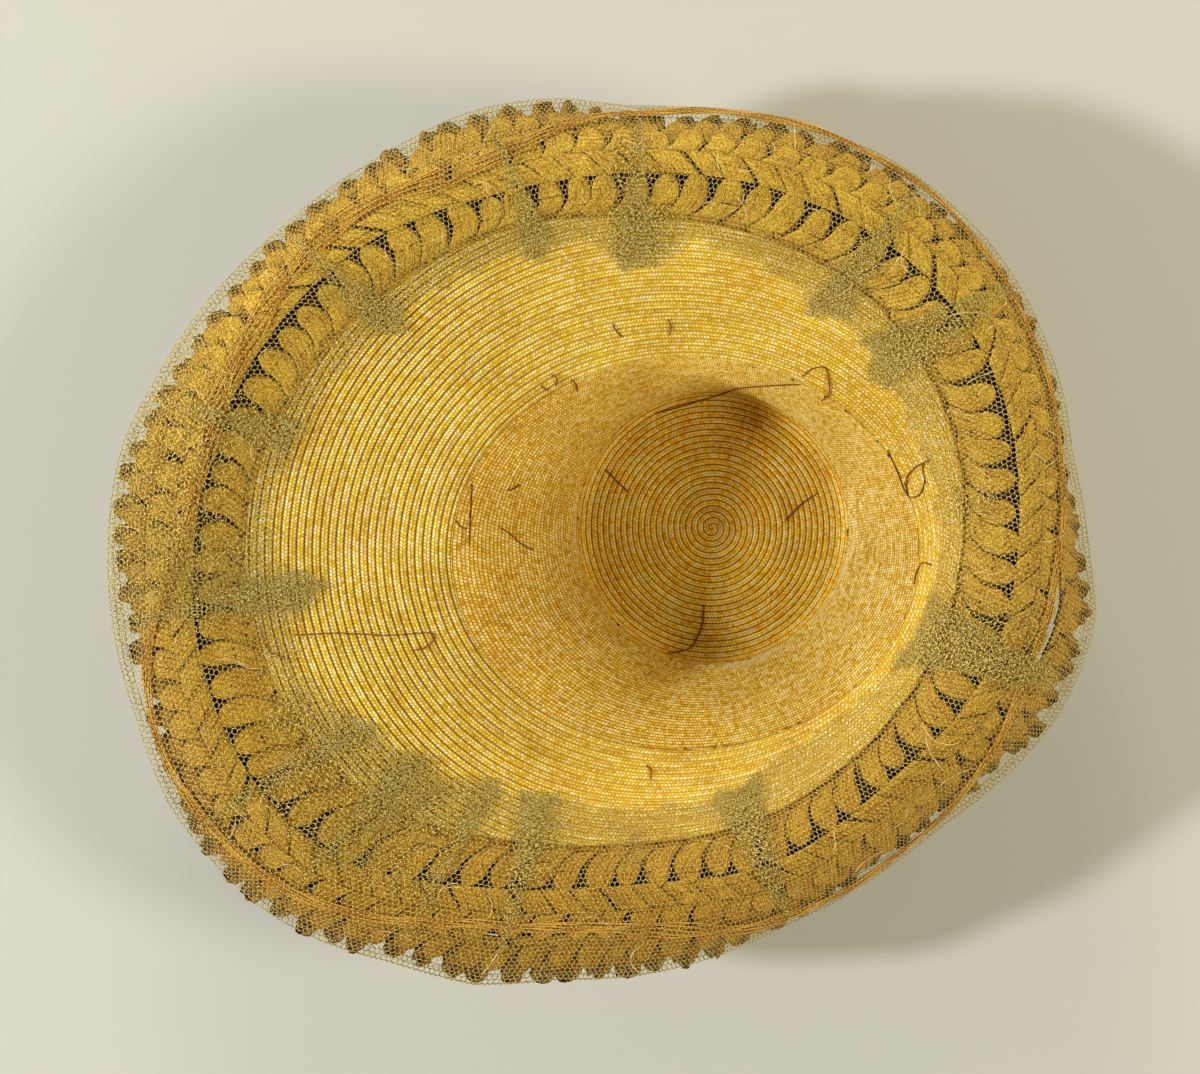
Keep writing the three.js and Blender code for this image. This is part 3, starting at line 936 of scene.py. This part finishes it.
# %% [markdown]
# ## The brim wire
#
# Wire wound with brown thread keeps the plaits in shape. Five strands wander over the plaits, close
# together on the narrow side and splayed where their thread has worn. Each strand is a grid rolled
# into a tube round the line that the table gives.

# %% Lay the wire
WIRE_RADIUS = 0.43
WIRE_LENGTH = 1200
WIRE_STRANDS = 5
MIDDLE_STRAND = 2
STRANDS_APART = 0.75
WIRE_LIFT = 1.7
TWISTS, TWIST_ASIDE, TWIST_UP = 23, 0.35, 0.4
SPLAY = [
    (0, 1.0), (100, 1.2), (115, 2.3), (165, 2.5), (180, 1.2), (262, 1.1), (275, 2.0), (290, 1.8),
    (300, 1.0), (360, 1.0),
]  # degrees, and how far the strands are splayed there


def wire_line(angle, strip):
    """One strand's distance from the ring and its height off the straw."""
    lap_reach, ridge_reach, edge_reach = [mark(name, angle) for name in ("lap", "ridge", "edge")]
    part = around("wire", angle)
    reach = np.where(
        part < 2,
        lap_reach + (ridge_reach - lap_reach) * (part - 1),
        ridge_reach + (edge_reach - ridge_reach) * (part - 2),
    )
    twist = TWISTS * angle + strip * TURN / WIRE_STRANDS
    aside = (strip - MIDDLE_STRAND) * STRANDS_APART + TWIST_ASIDE * np.sin(twist)
    return reach + by_degrees(SPLAY, angle) * aside, WIRE_LIFT + TWIST_UP * np.cos(twist)


def wire_place(u, v, strip):
    angle = -TURN * u
    reach, lift = wire_line(angle, strip)
    turn = TURN * v
    return on_brim(angle, reach + WIRE_RADIUS * np.cos(turn), lift + WIRE_RADIUS * np.sin(turn))


wire = bent_grids("wound_wire", 900, 6, wire_place, wound_paint(WIRE_LENGTH), count=WIRE_STRANDS)
dress(wire, wire_thread, "covered_wire", "brim_wire")

# %% [markdown]
# ## The net
#
# The net is a straight strip of six-sided mesh. Its outer edge follows the brim, and because the inner
# edge is shorter, the spare width is taken up in pleats that widen inwards and darken where three
# layers lie on each other. The mesh is thousands of equal threads, so they are worked out together as
# arrays: each thread of the flat strip is a narrow quad, and the strip is then folded and laid on.

# %% Knot the flat net
NET_CELL = 2.2
NET_THREAD = 0.35
NET_RETURN = 4.0  # how far the net turns back behind the edge
NET_STRIP = 113.0
net_side = NET_CELL / np.sqrt(3)


def flat_net(length, width):
    """The threads of a six-sided mesh as start and end points, rows running along the strip."""
    columns = int(round(length / NET_CELL))
    cell = length / columns
    rows = int(width / (1.5 * net_side))
    column, row = np.meshgrid(np.arange(columns), np.arange(rows), indexing="ij")
    left = np.stack([(column + 0.5 * (row % 2)) * cell, row * 1.5 * net_side], axis=-1).reshape(-1, 2)
    low = left + [cell / 2, -net_side / 2]
    right = left + [cell, 0]
    high = left + [0, net_side]
    return np.concatenate([np.stack(pair, axis=1) for pair in ((left, low), (low, right), (left, high))])


net_length = evenly(lambda angle: mark("net_fold", angle))[1]
threads = flat_net(net_length, NET_STRIP)
print(len(threads), "threads in a strip of", round(net_length), "by", NET_STRIP, "mm")

# %% [markdown]
# ## Pleats
#
# Whoever sewed the net on drew it together by hand, here more and there less. Cloth modifiers could
# gather a plain sheet, but not thousands of loose threads. So a pleat is worked out by folding the flat
# strip back and forth: near a pleat, a place is laid backwards, then on again, as one of three layers.

# %% Gather the net into pleats
PLEATS = np.array([
    (33, 14, 13, 3), (51, 13, 14, 2), (90, 13, 17, 5), (110, 4, 9, 2), (140, 6, 8, 2), (165, 3, 9, 2),
    (190, 24, 11, 1.4), (214, 5, 9, 2), (226, 4, 9, 3), (240, 3, 9, 2), (252, 4, 9, 2), (291, 3, 6, 3),
    (340, 9, 15, 5),
])  # degrees, how far a pleat reaches in past the others, its half width and its bluntness
pleat_angles, pleat_reach, pleat_half, pleat_blunt = PLEATS.T
pleat_turns = np.radians(pleat_angles)
NET_TAKE_UP = 0.0048  # how much of its length the strip has to spare for each millimetre inwards
TAKE_UP_END = 85  # how far inwards it goes on being taken up


def gather(turn, inwards):
    """Where a place of the flat strip lies once the strip is pleated, and in which layer."""
    turn = np.mod(turn - pleat_turns[0], TURN)
    starts = np.append(pleat_turns - pleat_turns[0], TURN)
    which = np.clip(np.searchsorted(starts, turn, side="right") - 1, 0, len(PLEATS) - 1)
    start, room = starts[which], starts[which + 1] - starts[which]
    keep = 1 - NET_TAKE_UP * np.clip(inwards, 0, TAKE_UP_END)
    tuck = room * (1 - keep) / 4
    gone = turn - start
    back, on = gone < tuck, gone > room - tuck
    laid = np.where(back, -gone, np.where(on, 2 * room - 4 * tuck - gone, gone - 2 * tuck))
    layer = np.where(back, 1.5, np.where(on, 0.75, 0.0))
    layer = np.where(~back & ~on, 2.0 * np.clip(1 - (gone - tuck) / (2 * tuck + 1e-9), 0, 1), layer)
    return start + laid / keep + pleat_turns[0], layer


print(len(PLEATS), "pleats take up", round(100 * NET_TAKE_UP * TAKE_UP_END), "% of the strip at most")

# %% Lay the net on the hat
PLEAT_START = 6  # how far inside the fold the pleats begin
BUNCH = 6.0  # how far apart the threads of a pleat draw together, in millimetres
BUNCH_RADIUS = 150  # distance from the axis at which that is measured
NET_FRONT, NET_BACK = 1.8, -2.6  # how far the net lies off the straw, in front and behind
LAYER_LIFT = 0.55
FOLD_ROUND = 5.0  # distance over which the net bends round the edge
WIRE_BUMP, BUMP_WIDTH = 2.0, 5.0
FINE_LIFT = 0.5


def over_wire(angle, reach):
    """How far a net that passes over the wire is lifted."""
    return WIRE_BUMP * np.exp(-((reach - wire_line(angle, MIDDLE_STRAND)[0]) / BUMP_WIDTH) ** 2)


def net_place(flat):
    """Lay points of the flat strip on the hat: hem behind the edge, fold, then in over the plaits."""
    turn, width = flat[..., 0] / net_length * TURN, flat[..., 1]
    inwards = width - NET_RETURN - PLEAT_START
    angle, layer = gather(turn, inwards)
    drawn = TURN * (angle * BUNCH_RADIUS / BUNCH + 0.37 * layer)
    angle = angle + np.clip(layer, 0, 1) * 0.6 * BUNCH / TURN * np.sin(drawn) / BUNCH_RADIUS
    fold = mark("net_fold", angle)
    reach = fold - np.abs(width - NET_RETURN)
    front = NET_FRONT + over_wire(angle, reach) + LAYER_LIFT * layer * np.clip(inwards / 20, 0, 1)
    near_fold = np.clip((fold - reach) / FOLD_ROUND, 0, 1)
    lift = np.where(width < NET_RETURN, NET_BACK, front) * near_fold
    lift = lift + 0.25 * np.sin(19 * angle + 0.3 * width)
    on_fine = np.clip((mark("fine", angle) + 2 - reach) / 4, 0, 1)
    return on_brim(angle, reach, lift + FINE_LIFT * on_fine), reach, angle


print("net is laid", NET_FRONT, "mm off the straw")

# %% Cut the net's inner edge
VEIL = [
    (0, 6), (20, 8), (60, 6), (80, 0), (290, 0), (302, 12), (328, 14), (345, 6), (360, 6),
]  # degrees, and how far the net reaches in there between its pleats


def turn_between(angle, other):
    """How far two angles lie apart, the shorter way round."""
    return np.abs(np.mod(angle - other + np.pi, TURN) - np.pi)


def net_inner_edge(angle):
    """How near to the ring the net comes: further in at each pleat, with a frayed edge."""
    apart = turn_between(angle[..., None], pleat_turns) * around("fine_r", angle)[..., None]
    tongue = (pleat_reach * np.exp(-(apart / pleat_half) ** pleat_blunt)).max(-1)
    frayed = 1.2 * np.sin(61 * angle) + 0.9 * np.sin(149 * angle + 1) + 1.1 * np.sin(37 * angle + 2)
    further = np.maximum(tongue, by_degrees(VEIL, angle))
    return mark("fine", angle) - around("net_in", angle) - further + frayed


middle_reach, middle_angle = net_place(threads.mean(axis=1))[1:]
threads = threads[middle_reach > net_inner_edge(middle_angle)]
print(len(threads), "threads are left")

# %% Make the net


def thread_quads(name, flat_threads, lay):
    """A mesh of narrow quads, one for each thread of a flat net, with each point laid on the hat by lay."""
    starts, ends = flat_threads[:, 0], flat_threads[:, 1]
    along = ends - starts
    beside = along[:, ::-1] * [-1, 1] / np.linalg.norm(along, axis=1, keepdims=True) * NET_THREAD / 2
    corners = np.stack([starts - beside, ends - beside, ends + beside, starts + beside], axis=1)
    points = lay(corners).reshape(-1, 3) * MM
    mesh = bpy.data.meshes.new(name)
    mesh.from_pydata(points, [], np.arange(len(points)).reshape(-1, 4).tolist())
    pattern = np.tile([[0, 0], [1, 0], [1, 1], [0, 1]], (len(flat_threads), 1)).astype(np.float32)
    pattern[:, 0] += np.random.default_rng(3).uniform(0, 40, len(flat_threads)).repeat(4)
    mesh.uv_layers.new(name="straw").data.foreach_set("uv", pattern.ravel())
    piece = bpy.data.objects.new(name, mesh)
    bpy.context.collection.objects.link(piece)
    return piece


net = thread_quads("net_threads", threads, lambda flat: net_place(flat)[0])
dress(net, net_silk, "net_thread", "net")

# %% [markdown]
# ## Folds of the net
#
# Where the net is caught into the seams, more layers lie crumpled over each other and hide the straw. A
# cloth simulation of open mesh would be slow, so more strips are drawn out of shape by a few waves, and
# only what lies inside the folds is kept, less and less of it towards their borders. Each fold is given
# by its angle, its two ends, its half width at both, and the number of its layers.

# %% Choose the threads of the folds
FOLDS = [
    (340, -6, 52, 15, 4, 2), (346, 0, 40, 8, 5, 1), (190, -26, 30, 3, 14, 1), (184, 0, 42, 10, 14, 2),
    (90, -15, 8, 17, 13, 2), (92, 8, 40, 11, 8, 1), (110, -6, 10, 7, 4, 2), (140, -8, 16, 8, 10, 1),
    (33, -7, 22, 12, 9, 2), (51, -5, 22, 9, 8, 1), (165, -4, 20, 8, 9, 1), (175, 12, 62, 45, 60, 1),
    (208, -8, 12, 9, 9, 2), (226, -20, 36, 46, 40, 1), (231, -15, 10, 8, 10, 2), (252, -10, 20, 10, 7, 2),
    (290, -8, 20, 9, 6, 2), (268, -4, 14, 6, 6, 1), (5, -6, 18, 10, 7, 1),
]  # its angle, its ends past the fine straw's edge, its half width at each, and its layers
FOLD_LAYERS = 2
FOLD_BORDER = 7.0  # distance over which a fold grows full
BORDER_SHARE, FULL_SHARE = 0.3, 0.66  # share of the threads kept at the border and inside


def in_folds(angle, past, layer):
    """The share of threads to keep at a place, so far past the fine straw's edge."""
    full = np.zeros(angle.shape)
    for degrees, start, stop, half_start, half_stop, layers in FOLDS:
        aside = turn_between(angle, np.radians(degrees)) * around("lap_r", angle)
        part = np.clip((past - start) / (stop - start), 0, 1)
        half = half_start + (half_stop - half_start) * part + 1.2 * np.sin(0.5 * past + degrees)
        inside = np.minimum(np.minimum(past - start, stop - past), half - aside)
        share = np.clip(inside / FOLD_BORDER + BORDER_SHARE, 0, FULL_SHARE)
        full = np.maximum(full, share * (layer < layers))
    return full


def fold_place(flat, layer):
    """The angle of points of a strip that waves have drawn out of shape, and how far past the fine straw
    they lie."""
    x, y = flat[..., 0], flat[..., 1]
    x = x + 1.5 * np.sin(y / 3.1 + layer) + 0.9 * np.sin(x / 1.9 + 2.1 * layer) + 0.5 * y * np.sin(x / 23)
    y = y + 1.2 * np.sin(x / 3.7 + 1.3 * layer) + 0.8 * layer
    angle = x / net_length * TURN
    return angle, mark("edge", angle) - mark("fine", angle) - y


folds = np.concatenate([flat_net(net_length, NET_STRIP)] * FOLD_LAYERS)
fold_layer = np.arange(FOLD_LAYERS).repeat(len(folds) // FOLD_LAYERS)
share_kept = in_folds(*fold_place(folds.mean(axis=1), fold_layer), fold_layer)
kept = share_kept > rng.uniform(0, 1, len(folds))
folds, fold_layer = folds[kept], fold_layer[kept]
print(len(folds), "threads in the folds")

# %% Lay the folds
FOLD_LIFT, FOLD_LAYER_LIFT, FOLD_RIPPLE = 2.6, 0.7, 0.4


def lay_folds(flat):
    layer = fold_layer[:, None]
    angle, past = fold_place(flat, layer)
    reach = mark("fine", angle) + past
    ripple = FOLD_RIPPLE * np.sin(flat[..., 0] / 2.3) * np.sin(flat[..., 1] / 1.7)
    return on_brim(angle, reach, FOLD_LIFT + over_wire(angle, reach) + FOLD_LAYER_LIFT * layer + ripple)


fold_net = thread_quads("net_folds", folds, lay_folds)
dress(fold_net, folded_silk, "net_thread")

# %% [markdown]
# ## Loose threads
#
# Old stitches have come loose inside the hat. Each is given by a few places in the photograph. A ray
# from the camera through each place finds the straw that carries it, so the thread lies on the hat
# from every side and not only from above.

# %% Helper: find the straw behind a place in the picture
CAMERA_PLACE = Vector((-0.0494, -0.0040, 1.5))
PICTURE = (1200, 1074)
PICTURE_FOCUS = 3397.0  # focal length in pixels of the picture
LOOSE_THREADS = [
    [(295, 635), (340, 633), (390, 635), (430, 633), (433, 640), (424, 648), (415, 650)],
    [(472, 484), (470, 510), (469, 546)],
    [(501, 528), (512, 536), (522, 545), (533, 550)],
    [(507, 490), (513, 489), (520, 484)],
    [(655, 413), (675, 408), (700, 400), (720, 394), (740, 388), (770, 385), (800, 384)],
    [(803, 376), (812, 369), (825, 368), (829, 380), (829, 395), (822, 400)],
    [(888, 450), (897, 470), (906, 493), (914, 497), (921, 493), (925, 480), (923, 465), (930, 459)],
    [(927, 461), (916, 467), (908, 476), (907, 486), (908, 495)],
    [(932, 565), (923, 563), (917, 573), (914, 584)],
    [(605, 469), (616, 480), (629, 492)],
    [(785, 520), (800, 505), (818, 493)],
    [(704, 606), (703, 622), (698, 637), (689, 649), (668, 655)],
    [(260, 625), (264, 640), (270, 652), (288, 659)],
    [(613, 324), (616, 331), (622, 336)],
    [(668, 319), (671, 327), (669, 335)],
    [(552, 374), (557, 379), (556, 386)],
    [(571, 379), (576, 384), (577, 391)],
    [(541, 386), (546, 389), (551, 394)],
    [(646, 765), (651, 770), (651, 779)],
    [(456, 521), (461, 527), (466, 529)],
]
depsgraph = bpy.context.evaluated_depsgraph_get()
carriers = [BVHTree.FromObject(piece, depsgraph) for piece in (tip, side, brim)]


def straw_behind(pixel):
    """The straw that a place in the picture shows, and which way it faces."""
    across = (pixel[0] - PICTURE[0] / 2) / PICTURE_FOCUS
    up = (PICTURE[1] / 2 - pixel[1]) / PICTURE_FOCUS
    ray = Vector((across, up, -1)).normalized()
    hits = [tree.ray_cast(CAMERA_PLACE, ray) for tree in carriers]
    place, normal = min((hit for hit in hits if hit[0]), key=lambda hit: hit[3])[:2]
    return np.array(place) / MM, np.array(normal)


# %% Spin the loose threads
THREAD_RADIUS = 0.32
THREAD_LIFT = 0.15  # how far a loose thread stands off the straw
THREAD_LENGTH = 30
THREAD_STEPS = 24


def thread_route(pixels):
    """A smooth route over the straw through places in the picture."""
    places, normals = zip(*[straw_behind(pixel) for pixel in pixels])
    points = np.array(places) + np.array(normals) * (THREAD_RADIUS + THREAD_LIFT)
    padded = np.concatenate([2 * points[:1] - points[1:2], points, 2 * points[-1:] - points[-2:-1]])
    share = np.linspace(0, len(points) - 1.0001, THREAD_STEPS + 1)
    start = np.floor(share).astype(int)
    return smooth_between(*(padded[start + k] for k in range(4)), (share - start)[:, None])


routes = np.stack([thread_route(pixels) for pixels in LOOSE_THREADS])


def thread_place(u, v, strip):
    route = routes[np.round(strip).astype(int)]
    share = np.round(u * THREAD_STEPS).astype(int)
    rows = np.arange(len(u))
    here = route[rows, share]
    ahead = route[rows, np.minimum(share + 1, THREAD_STEPS)] - route[rows, np.maximum(share - 1, 0)]
    ahead /= np.linalg.norm(ahead, axis=1, keepdims=True)
    beside = np.cross(ahead, [0, 0, 1.0])
    beside /= np.linalg.norm(beside, axis=1, keepdims=True)
    turn = TURN * v[:, None]
    return here + THREAD_RADIUS * (beside * np.cos(turn) + np.cross(beside, ahead) * np.sin(turn))


thread_paint = wound_paint(THREAD_LENGTH)
stitches = bent_grids("loose_threads", THREAD_STEPS, 6, thread_place, thread_paint, count=len(routes))
dress(stitches, loose_thread, "covered_wire")

# %% [markdown]
# ## Stray straw fibres
#
# Dry straw splits at its edges, and pale fibres stand off the plaits here and there. Each is a thin tube
# along a short bent line. Chance sets its place, heading and bend, from a fixed seed, so that every run
# gives the same fibres.

# %% Scatter the fibres
FIBRES = 90
FIBRE_RADIUS = 0.13
FIBRE_LENGTH = 12
FIBRE_LIFT, FIBRE_RISE = 2.1, 0.6
fibre_rng = np.random.default_rng(11)
fibre_turn = fibre_rng.uniform(0, TURN, FIBRES)
fibre_part = fibre_rng.uniform(0.1, 0.95, FIBRES)
fibre_length = fibre_rng.uniform(6, 18, FIBRES)
fibre_heading = fibre_rng.uniform(0, TURN, FIBRES)
fibre_bend = fibre_rng.uniform(-1.2, 1.2, FIBRES)


def fibre_place(u, v, strip):
    which = np.round(strip).astype(int)
    turn = TURN * v
    heading = fibre_heading[which] + fibre_bend[which] * u
    gone = (u - 0.5) * fibre_length[which]
    aside = FIBRE_RADIUS * np.cos(turn)
    along = gone * np.cos(heading) - aside * np.sin(heading)
    out = gone * np.sin(heading) + aside * np.cos(heading)
    start = mark("fine", fibre_turn[which])
    reach = start + (mark("edge", fibre_turn[which]) - start) * fibre_part[which] + out
    angle = fibre_turn[which] + along / around("lap_r", fibre_turn[which])
    return on_brim(angle, reach, FIBRE_LIFT + FIBRE_RISE * u + FIBRE_RADIUS * np.sin(turn))


fibres = bent_grids("stray_fibres", 8, 4, fibre_place, wound_paint(FIBRE_LENGTH), count=FIBRES)
dress(fibres, stray_straw, "picot_plait")

# %% [markdown]
# ## Floor, light and camera
#
# A cool lamp stands low on the left and a warmer one on the right, and the crown's walls shade the tip
# from both: two dark lenses are left where neither reaches. A weak lamp shines in low from the far side,
# and the room's pale lower walls fill the shadows. The camera hangs straight over the hat, far away, so
# that the hat hardly widens towards it.

# %% Floor
FLOOR_SIZE = 6
FLOOR_PAPER = (0.6, 0.595, 0.523, 1)
bpy.ops.mesh.primitive_plane_add(size=FLOOR_SIZE)
floor = bpy.context.object
floor.name = "floor"
paper, _, paper_shader = start_finish("floor paper", 0.85)
paper_shader.inputs["Base Color"].default_value = FLOOR_PAPER
floor.data.materials.append(paper)
print("floor of", FLOOR_SIZE, "metres")

# %% Lamps and room
HAT_MIDDLE = Vector((-0.03, -0.01, 0.05))
COOL, WARM = (0.9, 0.93, 1.0), (1.0, 0.94, 0.76)
DIM = (0.02, 0.02, 0.02)
ROOM_LIGHT = 2.12


def add_lamp(name, azimuth, elevation, distance, size, power, colour):
    """A round lamp that faces the hat, its angles in degrees."""
    lamp = bpy.data.lights.new(name, "AREA")
    lamp.shape = "DISK"
    lamp.size = size
    lamp.energy = power
    lamp.color = colour
    stand = bpy.data.objects.new(name, lamp)
    turn, tilt = np.radians((azimuth, elevation))
    towards = Vector((np.cos(turn) * np.cos(tilt), np.sin(turn) * np.cos(tilt), np.sin(tilt)))
    stand.location = HAT_MIDDLE + towards * distance
    stand.rotation_euler = towards.to_track_quat("Z", "Y").to_euler()
    bpy.context.collection.objects.link(stand)


add_lamp("left lamp", 184, 32.5, 3.0, 0.28, 72, COOL)
add_lamp("right lamp", -10, 42, 3.0, 0.8, 35, WARM)
add_lamp("upper lamp", 100, 20, 2.4, 0.8, 22, WARM)
scene = bpy.context.scene
scene.world = bpy.data.worlds.new("room")
scene.world.use_nodes = True
sky = scene.world.node_tree
looking = add_node(sky, "TexCoord", {})
height = add_node(sky, "SeparateXYZ", {0: looking.outputs["Generated"]}).outputs["Z"]
walls = add_ramp(sky, height, [(0.36, WARM), (0.5, DIM)])
sky.links.new(walls, sky.nodes["Background"].inputs["Color"])
sky.nodes["Background"].inputs["Strength"].default_value = ROOM_LIGHT
scene.view_settings.view_transform = "Standard"
print(len(bpy.data.lights), "lamps in a room of strength", ROOM_LIGHT)

# %% Camera
camera = bpy.data.cameras.new("camera above")
camera.sensor_width = 36
camera.lens = PICTURE_FOCUS * camera.sensor_width / PICTURE[0]
viewer = bpy.data.objects.new("camera above", camera)
viewer.location = CAMERA_PLACE
bpy.context.collection.objects.link(viewer)
scene.camera = viewer
print("camera with a lens of", round(camera.lens), "mm")
